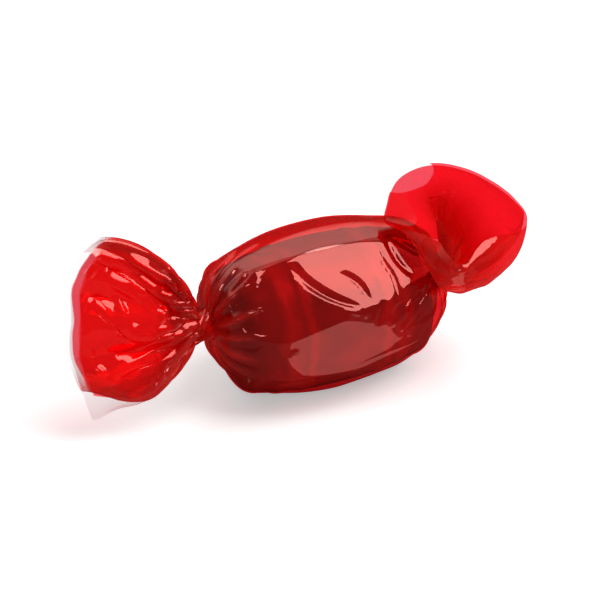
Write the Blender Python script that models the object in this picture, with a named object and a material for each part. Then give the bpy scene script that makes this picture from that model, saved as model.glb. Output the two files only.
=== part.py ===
"""A barrel candy in a twist wrapper, lying on a table, as one closed solid.

The wrapper is one sleeve of film. From left to right it is an open fan, a gathered neck, the bulging
body over the barrel, a second neck and an upturned cup. The sleeve is built from rings of points that
run round it, each worked out by a formula. The body is solid. The fan and the cup are open at their
cut edges and have a thin wall.

Lengths are in metres and angles in degrees. +X runs along the candy from the fan to the cup, +Z is up
and the candy is seen from the -Y side. The angle round a ring is 0 at the top of the body, 90 on its
-Y side, 180 below and 270 behind.
"""

import math

import bmesh
import bpy
import numpy as np
from mathutils import Vector

# Body: the film over the barrel.
BODY_RADIUS = 0.0093
BODY_REACH = 0.0136
BODY_FULLNESS_LEFT = 0.86
BODY_FULLNESS_RIGHT = 0.78
REST_CUT = 0.0003
BODY_AXIS_HEIGHT = BODY_RADIUS - REST_CUT

# Necks: where the film is twisted into a bundle, set a little off the body's own axis.
NECK_RADIUS = 0.0017
NECK_LENGTH = 0.0021
LEFT_NECK_SHIFT = Vector((0.0, -0.0004, 0.0012))
RIGHT_NECK_SHIFT = Vector((0.0, -0.0002, 0.0008))
SHIFT_FROM = 0.50

# Pleats: the gathered film opens out from each neck over the shoulder of the body.
PLEAT_COUNT = 12
PLEAT_DEPTH = 0.0006
PLEAT_FADE_FROM = 0.35
PLEAT_FADE_TO = 0.97
PLEAT_SHARE_OF_RADIUS = 0.14
PLEAT_TWIST = 40.0
NECK_TWIST = 30.0

# Fan: the flattened left end, its broad side to the front.
FAN_AXIS = Vector((-0.976, 0.035, 0.215))
FAN_ACROSS = Vector((0.20, 0.20, 0.96))
FAN_LENGTH = 0.0148
FAN_HALF_WIDTH = 0.0100
FAN_HALF_THICKNESS = 0.0021
FAN_SIDE_ROUNDNESS = 0.65
FAN_OPENING = 0.62
# How far the cut edge falls back from the fan's middle to its upper and its lower corner, and the
# power by which it does so: the upper corner is round, the lower side runs slanting.
FAN_UPPER_SETBACK = 0.0036
FAN_UPPER_POWER = 5.0
FAN_LOWER_SETBACK = 0.0040
FAN_LOWER_POWER = 1.4
# Each fold bends both layers of the fan: place across it from -1 to 1, depth towards the front,
# half-width as a share of the half-width of the fan. They get shallower towards the cut edge.
FAN_FOLD_FADE = 0.45
FAN_FOLDS = (
    (-0.70, 0.0011, 0.17),
    (-0.28, -0.0012, 0.17),
    (0.10, 0.0010, 0.15),
    (0.42, -0.0012, 0.15),
    (0.76, 0.0010, 0.17),
)

# Cup: the right end, turned up from its neck, with its mouth to the top. Its wall is a curve at each
# angle: it leaves the neck outwards and comes up to the rim from below.
CUP_MOUTH_SHIFT = Vector((-0.0016, -0.0040, 0.0090))
CUP_TO_LEFT = Vector((-0.910, 0.415, 0.0))
CUP_TO_FRONT = Vector((-0.395, -0.865, -0.300))
CUP_LEAVE_AHEAD = 0.0011
CUP_LEAVE_OUT = 0.0050
CUP_LEAVE_DROP_SHARE = 0.20
CUP_LEAVE_LIFT = 0.0016
CUP_SWELL = 0.0080
CUP_BELOW_RIM = 0.0050
CUP_OVER_SHOULDER = Vector((0.0045, 0.0, -0.0015))
CUP_FRONT_SAG = Vector((-0.0034, -0.0004, -0.0016))
CUP_FRONT_ANGLE = 72.0
CUP_FRONT_SPREAD = 45.0
CUP_CLEARANCE = 0.0010
CLEARING_STEPS = 6
# The rim's outline: angle round the ring and distance from the mouth's centre. The two short
# distances in front are where the film folds inwards.
CUP_RIM = (
    (0.0, 0.0078),
    (47.0, 0.0053),
    (95.0, 0.0077),
    (135.0, 0.0052),
    (182.0, 0.0079),
    (226.0, 0.0067),
    (304.0, 0.0084),
    (338.0, 0.0075),
)
CUP_RIM_WAVE = 0.0005
CUP_RIBS = 9
CUP_RIB_DEPTH = 0.00022

# Film wall of the fan and the cup, and how near the neck their hollows start.
WALL = 0.0005
THROAT = 0.42
SHARE_STEP = 0.01

# Mesh.
POINTS_AROUND = 72
BODY_ROWS = 29
NECK_ROWS = 2
FAN_ROWS = 11
CUP_ROWS = 12
INSIDE_ROWS = 7

FILM_COLOUR = (0.46, 0.012, 0.012, 1.0)
FILM_ROUGHNESS = 0.12

AROUND = np.radians(np.arange(POINTS_AROUND) * 360.0 / POINTS_AROUND)


def ease(value, start, end):
    """Rise smoothly from 0 at start to 1 at end."""
    share = np.clip((value - start) / (end - start), 0.0, 1.0)
    return share * share * (3.0 - 2.0 * share)


def bell(angles, centre, half_width):
    """A dent's shape round a ring: 1 at its centre, falling to 0 at both sides."""
    apart = (np.degrees(angles) - centre + 180.0) % 360.0 - 180.0
    return np.exp(-((apart / half_width) ** 2))


def pleat_wave(angles, phase):
    """Uneven pleats round a ring, from -1 to 1."""
    drift = 0.9 * np.sin(2.0 * angles + phase) + 0.5 * np.sin(3.0 * angles + 2.0 * phase)
    return np.cos(PLEAT_COUNT * angles + drift)


def pleats(radius, side, turned=0.0):
    """How far the gathered film stands out round a ring of this radius, with its pleats turned."""
    fade = 1.0 - ease(radius / BODY_RADIUS, PLEAT_FADE_FROM, PLEAT_FADE_TO)
    depth = min(PLEAT_DEPTH, PLEAT_SHARE_OF_RADIUS * radius) * fade
    twist = PLEAT_TWIST * side * (1.0 - radius / BODY_RADIUS) + turned
    return depth * pleat_wave(AROUND + math.radians(twist), side)


def placed(centre, across, forward, first, second):
    """Ring points at the given sizes along two directions from a centre."""
    points = np.array(centre)[None, :]
    return points + np.outer(first, np.array(across)) + np.outer(second, np.array(forward))


def neck_point(side, beyond):
    """Centre of the left (-1) or the right (+1) neck, this far out from the body's end."""
    shift = LEFT_NECK_SHIFT if side < 0 else RIGHT_NECK_SHIFT
    return Vector((side * (BODY_REACH + beyond), 0.0, BODY_AXIS_HEIGHT)) + shift


def body_ring(share):
    """Ring of the body, from share 0 at the left neck to 1 at the right neck."""
    turn = math.pi * share
    along = -math.cos(turn)
    side = -1.0 if along < 0.0 else 1.0
    fullness = BODY_FULLNESS_LEFT if side < 0.0 else BODY_FULLNESS_RIGHT
    radius = NECK_RADIUS + (BODY_RADIUS - NECK_RADIUS) * math.sin(turn) ** fullness
    radii = radius + pleats(radius, side)
    axis_point = Vector((along * BODY_REACH, 0.0, BODY_AXIS_HEIGHT))
    shift = LEFT_NECK_SHIFT if side < 0 else RIGHT_NECK_SHIFT
    centre = axis_point + shift * float(ease(abs(along), SHIFT_FROM, 1.0))
    ring = placed(centre, (0, 0, 1), (0, -1, 0), radii * np.cos(AROUND), radii * np.sin(AROUND))
    ring[:, 2] = np.maximum(ring[:, 2], 0.0)
    return ring


def neck_ring(side, beyond):
    """Ring of a gathered neck, this far out from the body's end, its pleats twisted along it."""
    radii = NECK_RADIUS + pleats(NECK_RADIUS, side, NECK_TWIST * beyond / NECK_LENGTH)
    centre = neck_point(side, beyond)
    return placed(centre, (0, 0, 1), (0, -1, 0), radii * np.cos(AROUND), radii * np.sin(AROUND))


def fan_ring(share):
    """Ring of the left fan, from share 0 at its neck to 1 at its cut edge."""
    opened = math.sin(math.pi / 2.0 * share) ** FAN_OPENING
    half_width = NECK_RADIUS + (FAN_HALF_WIDTH - NECK_RADIUS) * opened
    half_thickness = NECK_RADIUS + (FAN_HALF_THICKNESS - NECK_RADIUS) * opened
    fold_depth = opened * (1.0 - FAN_FOLD_FADE * share**2)
    axis = FAN_AXIS.normalized()
    across = (FAN_ACROSS - axis * FAN_ACROSS.dot(axis)).normalized()
    front = across.cross(axis).normalized()
    if front.y > 0.0:
        front.negate()
    place = np.cos(AROUND)
    width = half_width * place
    thickness = half_thickness * np.sign(np.sin(AROUND)) * np.abs(np.sin(AROUND)) ** FAN_SIDE_ROUNDNESS
    for middle, depth, spread in FAN_FOLDS:
        thickness = thickness + depth * fold_depth * np.exp(-(((place - middle) / spread) ** 2))
    gathered = pleats(NECK_RADIUS, -1.0, NECK_TWIST) * (1.0 - share) ** 3
    width = width + gathered * place
    thickness = thickness + gathered * np.sin(AROUND)
    upper = FAN_UPPER_SETBACK * np.maximum(place, 0.0) ** FAN_UPPER_POWER
    lower = FAN_LOWER_SETBACK * np.maximum(-place, 0.0) ** FAN_LOWER_POWER
    ahead = share * (FAN_LENGTH - upper - lower)
    ring = placed(neck_point(-1.0, NECK_LENGTH), across, front, width, thickness)
    return ring + np.outer(ahead, np.array(axis))


def clear_of_body(ring):
    """The ring with every point that would lie in the body's shoulder moved out to its surface."""
    for _ in range(CLEARING_STEPS):
        off_axis = ease(ring[:, 0] / BODY_REACH, SHIFT_FROM, 1.0)
        middle = np.outer(off_axis, np.array(RIGHT_NECK_SHIFT)) + (0.0, 0.0, BODY_AXIS_HEIGHT)
        offset = ring - middle
        from_axis = np.hypot(offset[:, 1], offset[:, 2]) / (BODY_RADIUS + CUP_CLEARANCE)
        along = offset[:, 0] / (BODY_REACH + CUP_CLEARANCE)
        level = from_axis ** (2.0 / BODY_FULLNESS_RIGHT) + along**2
        grown = np.where(level < 1.0, np.maximum(level, 0.1) ** -0.4, 1.0)
        ring = middle + offset * grown[:, None]
    return ring


def rim_radius():
    """Distance of the cup's rim from the middle of its mouth, at each point round it."""
    angles = np.degrees(AROUND)
    radii = np.zeros_like(angles)
    for (start, first), (end, last) in zip(CUP_RIM, CUP_RIM[1:] + ((360.0, CUP_RIM[0][1]),)):
        within = (angles >= start) & (angles < end)
        radii = np.where(within, first + (last - first) * ease(angles, start, end), radii)
    return radii


def cup_ring(share):
    """Ring of the right cup, from share 0 at its neck to 1 at its rim."""
    left = CUP_TO_LEFT.normalized()
    front = (CUP_TO_FRONT - left * CUP_TO_FRONT.dot(left)).normalized()
    up = np.array(left.cross(front))
    mouth = neck_point(1.0, NECK_LENGTH) + CUP_MOUTH_SHIFT
    outer = 0.5 - 0.5 * np.cos(AROUND)[:, None]
    spread = placed((0, 0, 0), left, front, np.cos(AROUND), np.sin(AROUND))
    neck = neck_ring(1.0, NECK_LENGTH)
    outward = placed((0, 0, 0), (0, 0, 1), (0, -1, 0), np.cos(AROUND), np.sin(AROUND))
    leave = outward * (1.0 - (1.0 - CUP_LEAVE_DROP_SHARE) * outer) + spread * outer
    leaving = neck + CUP_LEAVE_OUT * leave + np.array((CUP_LEAVE_AHEAD, 0.0, 0.0))
    leaving = leaving + outer * np.array((0.0, 0.0, CUP_LEAVE_LIFT))
    sag = np.outer(bell(AROUND, CUP_FRONT_ANGLE, CUP_FRONT_SPREAD), np.array(CUP_FRONT_SAG))
    below = np.array(mouth) + CUP_SWELL * spread
    below = below - CUP_BELOW_RIM * outer * up + (1.0 - outer) * np.array(CUP_OVER_SHOULDER)
    wave = CUP_RIM_WAVE * np.cos(3.0 * AROUND + 0.5)
    rim = np.array(mouth) + rim_radius()[:, None] * spread + np.outer(wave, up)
    rest = 1.0 - share
    ring = rest**3 * neck + 3.0 * rest**2 * share * (leaving + sag)
    ring = ring + 3.0 * rest * share**2 * (below + sag) + share**3 * rim
    ribs = CUP_RIB_DEPTH * np.cos(CUP_RIBS * AROUND + 1.0) * 4.0 * share * rest
    return clear_of_body(ring + ribs[:, None] * spread)


def inner_ring(outer_ring, side, share):
    """Ring of the film's inner side: the outer one moved in by the wall, square to the surface."""
    ring = outer_ring(share)
    around = np.roll(ring, -1, axis=0) - np.roll(ring, 1, axis=0)
    away = outer_ring(share + SHARE_STEP) - outer_ring(share - SHARE_STEP)
    outward = side * np.cross(around, away)
    return ring - outward / np.linalg.norm(outward, axis=1)[:, None] * WALL


def bridge(mesh, first, second):
    """Join two rings of vertices with a band of quads."""
    count = len(first)
    for at in range(count):
        after = (at + 1) % count
        mesh.faces.new((first[at], first[after], second[after], second[at]))


def close_across(mesh, loop):
    """Close the fan's hollow with strips from each point of its front layer to the one behind it."""
    count = len(loop)
    for at in range(count // 2):
        corners = (loop[at], loop[at + 1], loop[count - at - 1], loop[-at])
        mesh.faces.new(tuple(dict.fromkeys(corners)))


def close_to_middle(mesh, loop):
    """Close the cup's hollow with a ring of triangles round its middle."""
    middle = mesh.verts.new(sum((vert.co for vert in loop), Vector()) / len(loop))
    for at, vert in enumerate(loop):
        mesh.faces.new((vert, loop[(at + 1) % len(loop)], middle))


def sleeve_rings():
    """Every ring in order: out of the fan's hollow, over the sleeve and into the cup's hollow."""
    inside = np.linspace(THROAT, 1.0, INSIDE_ROWS)
    neck = np.linspace(0.0, NECK_LENGTH, NECK_ROWS + 1)[1:]
    rings = [inner_ring(fan_ring, -1.0, share) for share in inside]
    rings += [fan_ring(share) for share in np.linspace(1.0, 0.0, FAN_ROWS)[:-1]]
    rings += [neck_ring(-1.0, beyond) for beyond in neck[::-1]]
    rings += [body_ring(share) for share in np.linspace(0.0, 1.0, BODY_ROWS)]
    rings += [neck_ring(1.0, beyond) for beyond in neck]
    rings += [cup_ring(share) for share in np.linspace(0.0, 1.0, CUP_ROWS)[1:]]
    rings += [inner_ring(cup_ring, 1.0, share) for share in inside[::-1]]
    return rings


def film_material():
    """Red film over a dark candy."""
    material = bpy.data.materials.new("red_film")
    material.use_nodes = True
    shader = material.node_tree.nodes["Principled BSDF"]
    shader.inputs["Base Color"].default_value = FILM_COLOUR
    shader.inputs["Roughness"].default_value = FILM_ROUGHNESS
    shader.inputs["Metallic"].default_value = 0.0
    return material


def build_candy():
    """The whole wrapped candy as one closed mesh."""
    mesh = bmesh.new()
    loops = [[mesh.verts.new(point) for point in ring] for ring in sleeve_rings()]
    for first, second in zip(loops, loops[1:]):
        bridge(mesh, first, second)
    close_across(mesh, loops[0])
    close_to_middle(mesh, loops[-1])
    bmesh.ops.recalc_face_normals(mesh, faces=mesh.faces)
    data = bpy.data.meshes.new("wrapped_candy")
    mesh.to_mesh(data)
    mesh.free()
    data.shade_smooth()
    data.set_sharp_from_angle(angle=math.radians(35.0))
    data.materials.append(film_material())
    candy = bpy.data.objects.new("wrapped_candy", data)
    bpy.context.scene.collection.objects.link(candy)
    return candy


def main():
    for old in list(bpy.data.objects):
        bpy.data.objects.remove(old, do_unlink=True)
    build_candy()


if __name__ == "__main__":
    main()
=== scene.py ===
"""Looks of a barrel candy in a twist wrapper.

A dark hard candy lies inside one sheet of clear red film. The sheet is wrapped round it a little more
than one and a half times, twisted shut on both sides, and left open at its two cut edges: a flat fan on
the left and an upturned cup on the right. It is made in three lengths. The film and the candy together
stand for the solid of the wrapped candy.

Lengths are in metres and angles in degrees. +X runs from the fan to the cup, +Z is up, and the candy is
seen from the -Y side. The angle round the candy is 0 on top, 90 in front, 180 below and 270 behind.
"""

import logging
import math
from dataclasses import dataclass
from enum import Enum
from functools import cached_property

import bpy
import numpy as np
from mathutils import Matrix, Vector

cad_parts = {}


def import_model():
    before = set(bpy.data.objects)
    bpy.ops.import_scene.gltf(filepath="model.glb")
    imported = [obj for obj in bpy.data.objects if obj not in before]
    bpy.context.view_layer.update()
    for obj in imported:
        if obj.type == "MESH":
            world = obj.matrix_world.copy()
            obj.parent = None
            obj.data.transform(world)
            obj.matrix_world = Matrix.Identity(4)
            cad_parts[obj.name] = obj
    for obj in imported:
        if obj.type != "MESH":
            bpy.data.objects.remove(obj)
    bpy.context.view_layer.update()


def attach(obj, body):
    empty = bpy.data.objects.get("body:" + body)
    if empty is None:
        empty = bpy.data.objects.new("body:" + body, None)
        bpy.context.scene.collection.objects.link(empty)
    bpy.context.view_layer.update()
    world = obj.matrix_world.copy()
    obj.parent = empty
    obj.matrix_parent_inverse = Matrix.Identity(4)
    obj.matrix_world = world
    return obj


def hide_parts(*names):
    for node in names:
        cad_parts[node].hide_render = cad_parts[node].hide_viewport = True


LOG = logging.getLogger("candy")

Array = np.ndarray
Pair = tuple[float, float]
Triple = tuple[float, float, float]
Colour = tuple[float, float, float, float]
Tree = bpy.types.NodeTree
Socket = bpy.types.NodeSocket

MM = 0.001


def ease(value: Array | float, start: float, end: float) -> Array:
    """Rise smoothly from 0 at start to 1 at end.

    Args:
        value: Where on the way from start to end.
        start: Where the rise begins.
        end: Where it is over.

    Returns:
        The height at each value, from 0 to 1.
    """
    share = np.clip((np.asarray(value, dtype=float) - start) / (end - start), 0.0, 1.0)
    return share * share * (3.0 - 2.0 * share)


def crest(phase: Array, sharpness: float = 0.97) -> Array:
    """A wave from -1 to 1 with straight flanks and sharp crests, as creased film has.

    Args:
        phase: The wave's phase in radians.
        sharpness: 0 for a sine, towards 1 for a zigzag.

    Returns:
        The wave's height at each phase.
    """
    return np.arcsin(sharpness * np.sin(phase)) / math.asin(sharpness)


def wander(angle: Array, seed: float) -> Array:
    """A slow uneven wave round a ring, about -1 to 1.

    Args:
        angle: The angle round the ring in radians.
        seed: Picks one wave from the endless many.

    Returns:
        The wave's height at each angle.
    """
    slow = 0.5 * np.sin(2.0 * angle + 1.7 * seed) + 0.35 * np.sin(3.0 * angle + 2.9 * seed + 1.0)
    return slow + 0.25 * np.sin(5.0 * angle + 4.1 * seed + 2.0)


def soft_least(rows: list[Array], width: float) -> Array:
    """The least of several arrays, rounded where two of them meet.

    Args:
        rows: Arrays of one shape.
        width: How far the rounding reaches.

    Returns:
        The rounded least at each place.
    """
    stack = np.stack(rows)
    least = stack.min(axis=0)
    return least - width * np.log(np.exp(-(stack - least) / width).sum(axis=0))


def on_frame(centre: Array, across: Array, ahead: Array, first: Array, second: Array) -> Array:
    """Points at the given distances along two directions from a centre.

    Args:
        centre: Where both distances are 0.
        across: Direction of the first distances.
        ahead: Direction of the second distances.
        first: One distance for each point.
        second: The other distance for each point.

    Returns:
        The points, one to a row.
    """
    return np.asarray(centre)[None, :] + np.outer(first, across) + np.outer(second, ahead)


def smooth_line(points: tuple[Pair, ...], steps: int = 7) -> Array:
    """A smooth line through points on a surface, closed where the last point is the first one again.

    Args:
        points: The points in order.
        steps: How many short pieces lie between two of them.

    Returns:
        The line's points, one to a row.
    """
    knots = np.array(points)
    closed = len(points) > 3 and bool(np.allclose(knots[0], knots[-1]))
    if closed:
        knots = np.vstack((knots[-2], knots, knots[1]))
    else:
        knots = np.vstack((2.0 * knots[0] - knots[1], knots, 2.0 * knots[-1] - knots[-2]))
    line = []
    for at in range(1, len(knots) - 2):
        before, start, end, after = knots[at - 1 : at + 3]
        for share in np.arange(steps) / steps:
            line.append(
                0.5
                * (
                    2.0 * start
                    + (end - before) * share
                    + (2.0 * before - 5.0 * start + 4.0 * end - after) * share**2
                    + (3.0 * start - before - 3.0 * end + after) * share**3
                )
            )
    line.append(knots[-2])
    return np.array(line)


def node(tree: Tree, kind: str, inputs: dict[str | int, object], **settings: object) -> bpy.types.Node:
    """Add a node to a tree.

    Args:
        tree: The tree.
        kind: The node's type.
        inputs: What its inputs take, by name or number: a value, or a socket to link.
        settings: The node's own settings by name.

    Returns:
        The node.
    """
    made = tree.nodes.new(kind)
    for name, value in settings.items():
        setattr(made, name, value)
    for at, value in inputs.items():
        if isinstance(value, Socket):
            tree.links.new(value, made.inputs[at])
        else:
            made.inputs[at].default_value = value
    return made


def computed(tree: Tree, operation: str, *values: Socket | float) -> Socket:
    """Add a node that computes with numbers.

    Args:
        tree: The tree.
        operation: What it does.
        values: The numbers, or their sockets, in order.

    Returns:
        The result's socket.
    """
    return node(tree, "ShaderNodeMath", dict(enumerate(values)), operation=operation).outputs[0]


def ramp(tree: Tree, value: Socket, start: float, end: float, top: float = 1.0) -> Socket:
    """Add a node that rises smoothly from 0 to a top value.

    Args:
        tree: The tree.
        value: Where on the way from start to end.
        start: Where the rise begins.
        end: Where it is over.
        top: How high it rises.

    Returns:
        The height's socket.
    """
    inputs = {"Value": value, "From Min": start, "From Max": end, "To Max": top}
    return node(tree, "ShaderNodeMapRange", inputs, interpolation_type="SMOOTHSTEP").outputs["Result"]


def mixed_colour(tree: Tree, share: Socket, first: Socket | Colour, second: Socket | Colour) -> Socket:
    """Add a node that mixes two colours.

    Args:
        tree: The tree.
        share: How much of the second colour shows.
        first: The first colour, or its socket.
        second: The second colour, or its socket.

    Returns:
        The mixed colour's socket.
    """
    return node(tree, "ShaderNodeMix", {0: share, 6: first, 7: second}, data_type="RGBA").outputs[2]


def mixed_shader(tree: Tree, share: Socket, first: Socket, second: Socket) -> Socket:
    """Add a node that mixes two shaders.

    Args:
        tree: The tree.
        share: How much of the second shader shows.
        first: The first shader.
        second: The second shader.

    Returns:
        The mixed shader's socket.
    """
    return node(tree, "ShaderNodeMixShader", {0: share, 1: first, 2: second}).outputs[0]


def empty_material(name: str) -> bpy.types.Material:
    """A new material without any nodes.

    Args:
        name: Its name.

    Returns:
        The material.
    """
    material = bpy.data.materials.new(name)
    material.use_nodes = True
    material.node_tree.nodes.clear()
    return material


class End(Enum):
    """The two twisted ends of the wrapper, by their side along X."""

    LEFT = -1.0
    RIGHT = 1.0

    @property
    def seed(self) -> float:
        """Picks the uneven waves of its pleats."""
        return 1.0 if self is End.LEFT else 2.0


@dataclass(frozen=True)
class Barrel:
    """Sizes of the hard candy: a barrel lying along X, its axis above the table."""

    middle_radius: float = 0.0083
    end_radius: float = 0.0068
    half_length: float = 0.0108
    edge_round: float = 0.0014
    axis_height: float = 0.0084
    hoops: tuple[float, ...] = (-0.0072, -0.0046, 0.0046, 0.0072)
    hoop_rise: float = 0.00012
    hoop_half_width: float = 0.00055
    edge_steps: int = 7
    side_steps: int = 73

    def radius(self, along: Array) -> Array:
        """Radius of the candy without its rounded edges.

        Args:
            along: Places along the candy.

        Returns:
            The radius at each place.
        """
        share = np.clip(np.abs(along) / self.half_length, 0.0, 1.0)
        bulge = self.middle_radius - (self.middle_radius - self.end_radius) * share**2
        for hoop in self.hoops:
            bulge = bulge + self.hoop_rise * np.exp(-(((along - hoop) / self.hoop_half_width) ** 4))
        return bulge

    def profile(self) -> list[Pair]:
        """Outline from the middle of the left end to the middle of the right one.

        Returns:
            Pairs of place along the candy and radius.
        """
        left = [(-self.half_length, 0.0)]
        corner = self.half_length - self.edge_round
        rim = float(self.radius(np.array(corner)))
        for turn in np.linspace(0.0, math.pi / 2.0, self.edge_steps):
            left.append(
                (
                    -corner - self.edge_round * math.cos(turn),
                    rim - self.edge_round * (1.0 - math.sin(turn)),
                )
            )
        side = np.linspace(-corner, corner, self.side_steps)[1:-1]
        middle = [(float(x), float(self.radius(x))) for x in side]
        return left + middle + [(-x, r) for x, r in reversed(left)]

    def reach(self, along: float, angle: Array, centre: Array) -> Array:
        """How far the candy reaches out from the middle of a ring, which lies off its own axis.

        Args:
            along: Place along the candy.
            angle: Angles round the ring in radians.
            centre: Middle of the ring.

        Returns:
            The distance at each angle.
        """
        if abs(along) >= self.half_length:
            return np.zeros_like(angle)
        corner = self.half_length - self.edge_round
        over = max(abs(along) - corner, 0.0)
        cut = self.edge_round - math.sqrt(max(self.edge_round**2 - over**2, 0.0))
        radius = float(self.radius(np.array(min(abs(along), corner)))) - cut
        front, up = -centre[1], centre[2] - self.axis_height
        onward = front * np.sin(angle) + up * np.cos(angle)
        return np.sqrt(np.maximum(radius**2 - front**2 - up**2 + onward**2, 0.0)) - onward


@dataclass(frozen=True)
class Facet:
    """A flat place in the film over the body.

    Its angle is that of its outward side round the body, and it leans towards the right end. Its distance
    is from the middle of the body, in millimetres. A curved one follows the body's bulge lengthwise. A
    stepped one lies higher before the sheet's outer edge than beyond it.
    """

    angle: float
    lean: float
    distance: float
    curved: bool = False
    stepped: bool = False

    @property
    def normal(self) -> Array:
        """Its outward direction."""
        turn, tilt = math.radians(self.angle), math.radians(self.lean)
        return np.array((math.sin(tilt), -math.cos(tilt) * math.sin(turn), math.cos(tilt) * math.cos(turn)))


@dataclass(frozen=True)
class Crease:
    """A crease in the film along a smooth line: a valley, or a ridge where its depth is below 0.

    Each point is a pair of places on the surface, in the units of the part of the film it is in. The
    line is closed where its last point is the first one again.
    """

    points: tuple[Pair, ...]
    depth: float
    width: float


class Pressing:
    """The creases of one part of the film, ready to be pressed into its rings."""

    reach: float = 5.0

    def __init__(self, creases: tuple[Crease, ...], first_unit: float, second_unit: float) -> None:
        """Lay the creases out on the surface.

        Args:
            creases: The creases.
            first_unit: Length on the surface of one unit of their first places.
            second_unit: Length on the surface of one unit of their second places.
        """
        self.units = (first_unit, second_unit)
        self.lines = []
        for crease in creases:
            line = smooth_line(crease.points) * self.units
            steps = np.linalg.norm(np.diff(line, axis=0), axis=1)
            gone = np.concatenate(((0.0,), np.cumsum(steps))) / steps.sum()
            closed = bool(np.allclose(crease.points[0], crease.points[-1]))
            self.lines.append((crease, line, gone, closed))

    def pressed(self, first: Array, second: Array) -> Array:
        """How far the creases move the film in, below 0 on a ridge.

        Args:
            first: First places of the points.
            second: Second places of the points.

        Returns:
            The depth at each point.
        """
        here = np.stack((first * self.units[0], second * self.units[1]), axis=1)
        depth = np.zeros(len(here))
        for crease, line, gone, closed in self.lines:
            edge = self.reach * crease.width
            near = np.all((here > line.min(axis=0) - edge) & (here < line.max(axis=0) + edge), axis=1)
            if not near.any():
                continue
            offset = here[near][None, :, :] - line[:-1, None, :]
            run = np.diff(line, axis=0)[:, None, :]
            share = np.clip((offset * run).sum(axis=2) / (run * run).sum(axis=2), 0.0, 1.0)
            away = np.linalg.norm(offset - share[:, :, None] * run, axis=2)
            nearest = away.argmin(axis=0)
            column = np.arange(len(nearest))
            along = gone[nearest] + share[nearest, column] * np.diff(gone)[nearest]
            taper = 1.0 if closed else np.sqrt(np.clip(4.0 * along * (1.0 - along), 0.0, 1.0))
            depth[near] += crease.depth * taper * np.exp(-away[nearest, column] / crease.width)
        return depth


FRONT_FACETS = (
    Facet(42.0, 3.5, 8.50, stepped=True),
    Facet(41.0, -3.0, 8.40),
    Facet(73.0, 2.0, 9.10),
    Facet(91.0, -4.0, 8.60),
    Facet(6.0, 0.0, 9.13, curved=True),
    Facet(-18.0, 0.0, 9.10, curved=True),
    Facet(41.0, -14.0, 9.04),
    Facet(53.0, -12.0, 8.84),
    Facet(55.0, 10.0, 9.40),
    Facet(77.0, 18.7, 9.83),
    Facet(38.0, 12.0, 9.25),
)

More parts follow.
